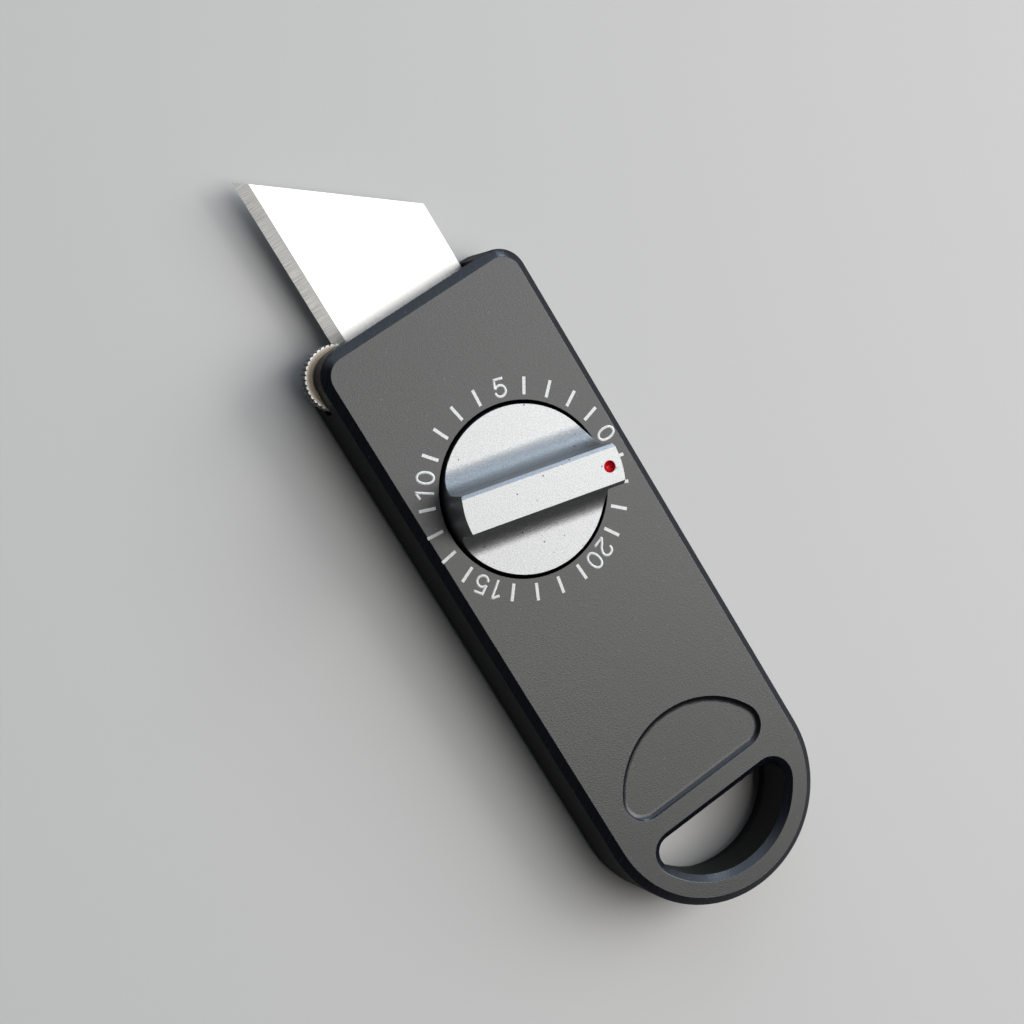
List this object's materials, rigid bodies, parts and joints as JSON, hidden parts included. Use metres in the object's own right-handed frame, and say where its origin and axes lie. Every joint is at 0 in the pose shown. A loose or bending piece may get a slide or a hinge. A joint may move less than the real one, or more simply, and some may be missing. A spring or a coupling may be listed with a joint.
{
  "type": "utility knife",
  "caption": "Flat metal utility knife with a dial that slides a trapezoid blade out by rack and pinion, a knurled guide wheel at the front corner and a lanyard slot at the rear.",
  "frame": {"origin": "on the middle line of the back cover's underside, level with the dial's axis", "axes": "+Y along the knife towards the blade's tip, +Z out of the dial's face, +X to the spine side"},
  "size_m": [0.0305, 0.1088, 0.0173],
  "materials": {
    "black_anodised": "bead blasted, black anodised",
    "silver_anodised": "bead blasted, clear anodised",
    "carrier_aluminium": "machined",
    "blade_steel": "polished flat, ground bevel",
    "plain_steel": "machined",
    "black_steel": "black oxide",
    "bronze": "turned",
    "nickel": "plated",
    "red_enamel": "glossy"
  },
  "bodies": {
    "handle": {"front_housing": "black_anodised", "back_cover": "black_anodised", "cover_screws": "black_steel", "dial_bush": "bronze", "click_ring": "plain_steel", "wheel_axle": "plain_steel"},
    "dial": {"control_knob": "silver_anodised", "pointer_dot": "red_enamel", "pinion": "plain_steel", "pinion_screw": "plain_steel", "click_ball": "plain_steel", "click_spring": "plain_steel"},
    "carriage": {"blade_carrier": "carrier_aluminium", "rack": "plain_steel", "rack_pins": "plain_steel", "blade": "blade_steel", "blade_pins": "plain_steel", "blade_magnets": "nickel"},
    "roller": {"guide_wheel": "plain_steel", "wheel_bush": "bronze"}
  },
  "joints": [
    {"name": "dial_turn", "type": "hinge", "parent": "handle", "child": "dial", "pos_m": [-0.00028, 0, 0.0103], "axis": [0, 0, 1], "range_deg": [-345.6, 0]},
    {"name": "blade_slide", "type": "slide", "parent": "handle", "child": "carriage", "axis": [0, 1, 0], "range_m": [-0.02413, 0]},
    {"name": "guide_wheel_spin", "type": "hinge", "parent": "handle", "child": "roller", "pos_m": [-0.0117, 0.0232, 0.0051], "axis": [0, 0, 1], "continuous": true}
  ],
  "couplings": [
    {"joint": "dial_turn", "follows": "blade_slide", "rad_per_m": 250}
  ]
}
